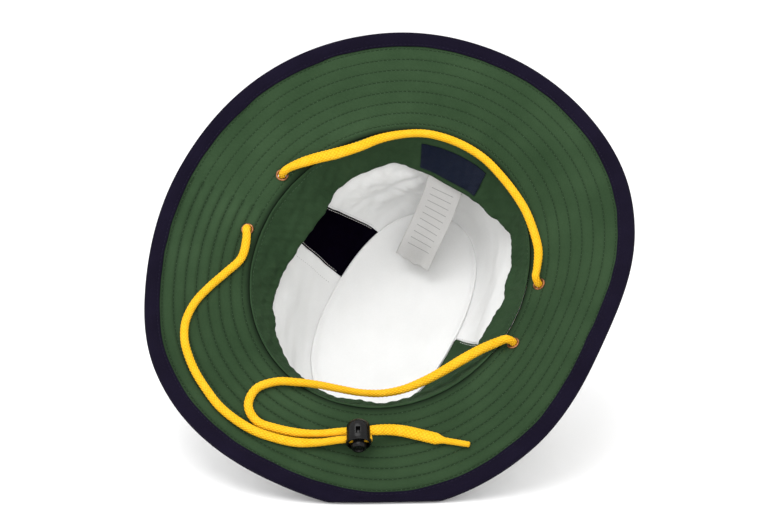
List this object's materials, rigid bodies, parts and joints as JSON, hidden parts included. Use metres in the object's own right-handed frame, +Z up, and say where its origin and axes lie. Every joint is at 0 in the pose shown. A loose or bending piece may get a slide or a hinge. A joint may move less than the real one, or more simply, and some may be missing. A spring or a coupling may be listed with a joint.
{
  "type": "cloth sun hat with chin cord",
  "caption": "Wide-brimmed cloth sun hat with a tapered crown, sweatband, eyelets and a chin cord with a sprung lock, resting tipped on its brim and crown.",
  "frame": {"origin": "bottom centre of the hat as it rests, on the floor", "axes": "+Z up, +X across the picture to the right, -Y towards the side that shows the head opening; X is the longest extent"},
  "size_m": [0.305, 0.2406, 0.2381],
  "materials": {
    "green_cloth": "woven cotton",
    "white_cloth": "woven cotton",
    "navy_cloth": "woven cotton",
    "navy_tape": "twill tape",
    "white_ribbon": "satin ribbon",
    "brass": "aged",
    "yellow_cord": "braided",
    "black_plastic": "glossy"
  },
  "bodies": {
    "hat": {"brim_underside": "green_cloth", "brim_top": "white_cloth", "brim_binding": "navy_tape", "crown_wall_navy": "navy_cloth", "crown_wall_back": "white_cloth", "crown_wall_green": "green_cloth", "crown_wall_front": "white_cloth", "crown_tip": "white_cloth", "sweatband": "green_cloth", "woven_label": "navy_tape", "care_label": "white_ribbon", "eyelet_left_back": "brass", "eyelet_left_front": "brass", "eyelet_right_back": "brass", "eyelet_right_front": "brass", "chin_cord_left": "yellow_cord", "chin_cord_back": "yellow_cord", "chin_cord_right": "yellow_cord", "cord_lock_barrel": "black_plastic"},
    "lock_button": {"cord_lock_button": "black_plastic"}
  },
  "joints": [
    {"name": "button_press", "type": "slide", "parent": "hat", "child": "lock_button", "axis": [-0.092, 0.7996, 0.5934], "range_m": [0, 0.002], "stiffness_N_per_m": 400, "springref_m": -0.004}
  ]
}
